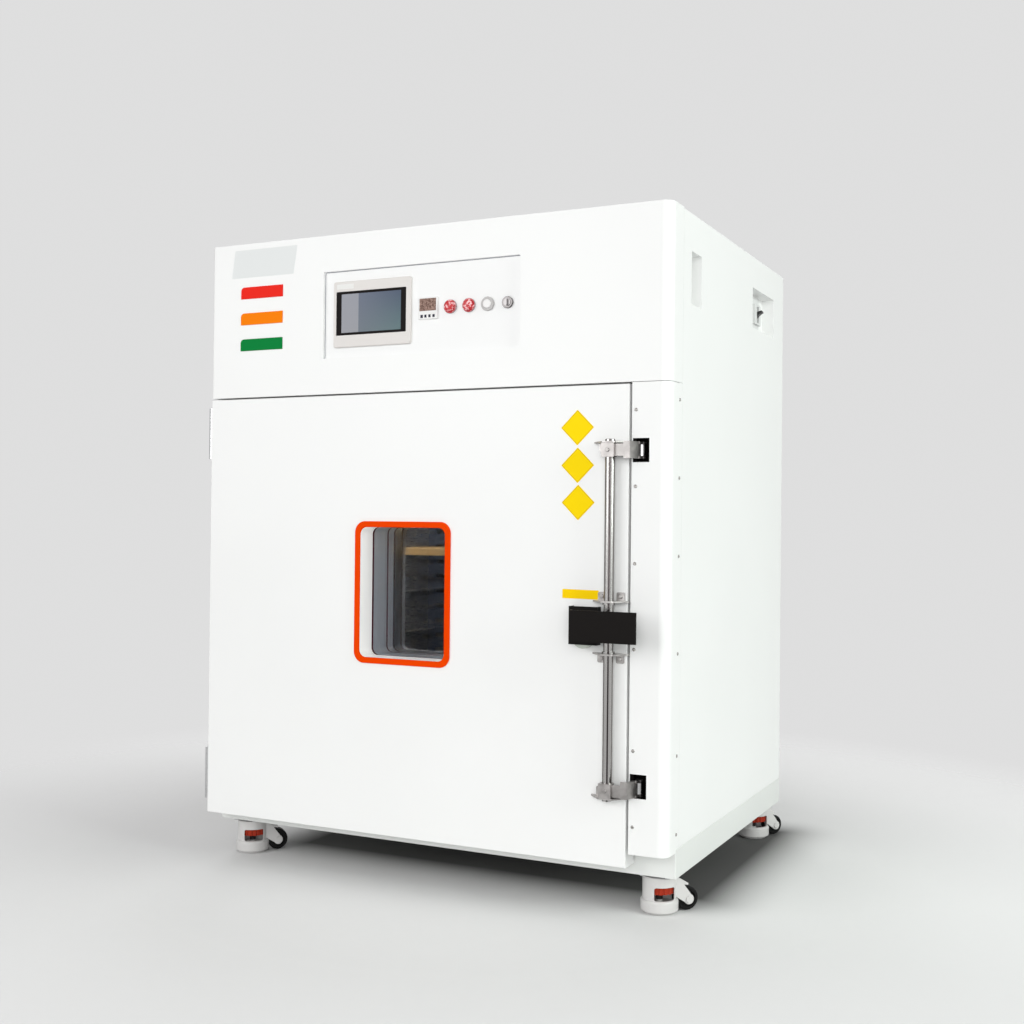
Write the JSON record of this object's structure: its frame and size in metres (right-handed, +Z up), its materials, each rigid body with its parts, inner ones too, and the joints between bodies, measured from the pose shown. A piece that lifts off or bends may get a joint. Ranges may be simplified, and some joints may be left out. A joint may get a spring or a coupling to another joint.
{
  "type": "high-temperature oven",
  "caption": "Free-standing high-temperature oven: hinged windowed door with a rod latch, fascia controls, wire shelves, fan-heated chamber and levelling casters.",
  "frame": {"origin": "middle of the outer box's bottom face, on the floor under the foot pads", "axes": "+Z up; -Y is the door side; +X is the latch side"},
  "size_m": [1.1762, 0.974, 1.435],
  "materials": {
    "white_cover": "light grain white powder coat",
    "panel_grey": "fine grain light powder coat",
    "polished_liner": "satin stainless sheet",
    "bright_rod": "ground stainless bar",
    "hinge_steel": "satin plated steel",
    "latch_rollers": "hardened steel",
    "lever_black": "satin black powder coat",
    "insulation_wool": "pressed mineral wool",
    "seal": "heat-proof silicone",
    "trim_orange": "moulded trim",
    "window_glass": "clear tempered panes",
    "pale_spacer": "white enamelled frame",
    "screen_housing": "fine grain dark plastic",
    "screen_face": "dark touch glass",
    "controller_plastic": "dark plastic",
    "lamp_red": "clear red lens in a ring",
    "signal_colours": "tinted diffusers",
    "ring_metal": "bright ring",
    "button_white": "white diffuser",
    "motor_casting": "cast motor housing",
    "heater_tube": "heat-tinted tube",
    "breaker_grey": "light moulded plastic",
    "breaker_black": "black moulded plastic",
    "gland_black": "black polyamide",
    "caster_plate_steel": "zinc plated steel",
    "caster_casting": "die-cast housing",
    "caster_wheel_black": "black nylon",
    "caster_foot_black": "rubber-soled foot",
    "dial_red": "red ratchet dial"
  },
  "bodies": {
    "cabinet": {"base_frame": "white_cover", "outer_casing": "white_cover", "back_panel": "white_cover", "front_frame": "white_cover", "chamber_liner": "polished_liner", "insulation": "insulation_wool", "control_fascia": "white_cover", "control_panel": "panel_grey", "screen_bezel": "screen_housing", "screen_glass": "screen_face", "over_temp_controller": "controller_plastic", "alarm_lamps": "lamp_red", "signal_lamps": "signal_colours", "switch_bezels": "ring_metal", "latch_column": "white_cover", "latch_keepers": "lever_black", "fan_baffle": "polished_liner", "shelf_rails": "polished_liner", "fan_motor": "motor_casting", "heater_elements": "heater_tube", "hinge_cabinet_leaves": "hinge_steel", "main_breaker": "breaker_grey", "cable_gland": "gland_black", "caster_plates": "caster_plate_steel"},
    "door": {"door_shell": "white_cover", "door_plug": "polished_liner", "door_insulation": "insulation_wool", "door_gasket": "seal", "window_trim": "trim_orange", "window_panes": "window_glass", "window_spacers": "pale_spacer", "hinge_door_leaves": "hinge_steel", "latch_brackets": "hinge_steel"},
    "latch": {"latch_rod": "bright_rod", "latch_arms": "bright_rod", "latch_handle": "lever_black"},
    "upper_roller": {"latch_roller_upper": "latch_rollers"},
    "lower_roller": {"latch_roller_lower": "latch_rollers"},
    "upper_shelf": {"shelf_upper": "bright_rod"},
    "lower_shelf": {"shelf_lower": "bright_rod"},
    "fan": {"fan_impeller": "bright_rod"},
    "breaker_lever": {"breaker_toggle": "breaker_black"},
    "chamber_light_button": {"light_button": "button_white"},
    "power_knob": {"power_switch": "ring_metal"},
    "caster_fl": {"caster_fl_housing": "caster_casting"},
    "caster_fl_wheel_body": {"caster_fl_wheel": "caster_wheel_black"},
    "caster_fl_dial_body": {"caster_fl_dial": "dial_red"},
    "caster_fl_foot_body": {"caster_fl_foot": "caster_foot_black"},
    "caster_fr": {"caster_fr_housing": "caster_casting"},
    "caster_fr_wheel_body": {"caster_fr_wheel": "caster_wheel_black"},
    "caster_fr_dial_body": {"caster_fr_dial": "dial_red"},
    "caster_fr_foot_body": {"caster_fr_foot": "caster_foot_black"},
    "caster_rl": {"caster_rl_housing": "caster_casting"},
    "caster_rl_wheel_body": {"caster_rl_wheel": "caster_wheel_black"},
    "caster_rl_dial_body": {"caster_rl_dial": "dial_red"},
    "caster_rl_foot_body": {"caster_rl_foot": "caster_foot_black"},
    "caster_rr": {"caster_rr_housing": "caster_casting"},
    "caster_rr_wheel_body": {"caster_rr_wheel": "caster_wheel_black"},
    "caster_rr_dial_body": {"caster_rr_dial": "dial_red"},
    "caster_rr_foot_body": {"caster_rr_foot": "caster_foot_black"}
  },
  "joints": [
    {"name": "door_swing", "type": "hinge", "parent": "cabinet", "child": "door", "pos_m": [-0.57914, -0.384, 0.998], "axis": [0, 0, -1], "range_deg": [0, 120]},
    {"name": "latch_turn", "type": "hinge", "parent": "door", "child": "latch", "pos_m": [0.45286, -0.428, 0.592], "axis": [0, 0, -1], "range_deg": [0, 30]},
    {"name": "upper_roller_spin", "type": "hinge", "parent": "latch", "child": "upper_roller", "pos_m": [0.50883, -0.39697, 0.941], "axis": [0, 0, 1], "continuous": true},
    {"name": "lower_roller_spin", "type": "hinge", "parent": "latch", "child": "lower_roller", "pos_m": [0.50883, -0.39697, 0.268], "axis": [0, 0, 1], "continuous": true},
    {"name": "upper_shelf_slide", "type": "slide", "parent": "cabinet", "child": "upper_shelf", "axis": [0, -1, 0], "range_m": [0, 0.025]},
    {"name": "lower_shelf_slide", "type": "slide", "parent": "cabinet", "child": "lower_shelf", "axis": [0, -1, 0], "range_m": [0, 0.025]},
    {"name": "fan_spin", "type": "hinge", "parent": "cabinet", "child": "fan", "pos_m": [-0.03614, 0.24, 0.608], "axis": [0, 1, 0], "continuous": true},
    {"name": "breaker_flip", "type": "hinge", "parent": "cabinet", "child": "breaker_lever", "pos_m": [0.55086, 0.288, 1.312], "axis": [0, -1, 0], "range_deg": [-50, 0]},
    {"name": "light_button_press", "type": "slide", "parent": "cabinet", "child": "chamber_light_button", "axis": [0, 1, 0], "range_m": [0, 0.003], "stiffness_N_per_m": 400},
    {"name": "power_knob_turn", "type": "hinge", "parent": "cabinet", "child": "power_knob", "pos_m": [0.21036, -0.404, 1.256], "axis": [0, 1, 0], "range_deg": [0, 90]},
    {"name": "caster_fl_swivel", "type": "hinge", "parent": "cabinet", "child": "caster_fl", "pos_m": [-0.50914, -0.305, 0.059], "axis": [0, 0, 1], "continuous": true},
    {"name": "caster_fl_roll", "type": "hinge", "parent": "caster_fl", "child": "caster_fl_wheel_body", "pos_m": [-0.46959, -0.26258, 0.0252], "axis": [-0.7314, 0.682, 0], "continuous": true},
    {"name": "caster_fl_dial_turn", "type": "hinge", "parent": "caster_fl", "child": "caster_fl_dial_body", "pos_m": [-0.50914, -0.305, 0.041], "axis": [0, 0, 1], "range_deg": [-360, 540]},
    {"name": "caster_fl_foot_lift", "type": "slide", "parent": "caster_fl", "child": "caster_fl_foot_body", "axis": [0, 0, 1], "range_m": [-0.0041, 0.0061]},
    {"name": "caster_fr_swivel", "type": "hinge", "parent": "cabinet", "child": "caster_fr", "pos_m": [0.52186, -0.305, 0.059], "axis": [0, 0, 1], "continuous": true},
    {"name": "caster_fr_roll", "type": "hinge", "parent": "caster_fr", "child": "caster_fr_wheel_body", "pos_m": [0.56287, -0.26399, 0.0252], "axis": [-0.7071, 0.7071, 0], "continuous": true},
    {"name": "caster_fr_dial_turn", "type": "hinge", "parent": "caster_fr", "child": "caster_fr_dial_body", "pos_m": [0.52186, -0.305, 0.041], "axis": [0, 0, 1], "range_deg": [-360, 540]},
    {"name": "caster_fr_foot_lift", "type": "slide", "parent": "caster_fr", "child": "caster_fr_foot_body", "axis": [0, 0, 1], "range_m": [-0.0041, 0.0061]},
    {"name": "caster_rl_swivel", "type": "hinge", "parent": "cabinet", "child": "caster_rl", "pos_m": [-0.50914, 0.411, 0.059], "axis": [0, 0, 1], "continuous": true},
    {"name": "caster_rl_roll", "type": "hinge", "parent": "caster_rl", "child": "caster_rl_wheel_body", "pos_m": [-0.46471, 0.44828, 0.0252], "axis": [-0.6428, 0.766, 0], "continuous": true},
    {"name": "caster_rl_dial_turn", "type": "hinge", "parent": "caster_rl", "child": "caster_rl_dial_body", "pos_m": [-0.50914, 0.411, 0.041], "axis": [0, 0, 1], "range_deg": [-360, 540]},
    {"name": "caster_rl_foot_lift", "type": "slide", "parent": "caster_rl", "child": "caster_rl_foot_body", "axis": [0, 0, 1], "range_m": [-0.0041, 0.0061]},
    {"name": "caster_rr_swivel", "type": "hinge", "parent": "cabinet", "child": "caster_rr", "pos_m": [0.52186, 0.411, 0.059], "axis": [0, 0, 1], "continuous": true},
    {"name": "caster_rr_roll", "type": "hinge", "parent": "caster_rr", "child": "caster_rr_wheel_body", "pos_m": [0.55512, 0.45851, 0.0252], "axis": [-0.8192, 0.5736, 0], "continuous": true},
    {"name": "caster_rr_dial_turn", "type": "hinge", "parent": "caster_rr", "child": "caster_rr_dial_body", "pos_m": [0.52186, 0.411, 0.041], "axis": [0, 0, 1], "range_deg": [-360, 540]},
    {"name": "caster_rr_foot_lift", "type": "slide", "parent": "caster_rr", "child": "caster_rr_foot_body", "axis": [0, 0, 1], "range_m": [-0.0041, 0.0061]}
  ],
  "couplings": [
    {"joint": "caster_fl_foot_lift", "follows": "caster_fl_dial_turn", "m_per_rad": 0.00063662},
    {"joint": "caster_fr_foot_lift", "follows": "caster_fr_dial_turn", "m_per_rad": 0.00063662},
    {"joint": "caster_rl_foot_lift", "follows": "caster_rl_dial_turn", "m_per_rad": 0.00063662},
    {"joint": "caster_rr_foot_lift", "follows": "caster_rr_dial_turn", "m_per_rad": 0.00063662}
  ]
}
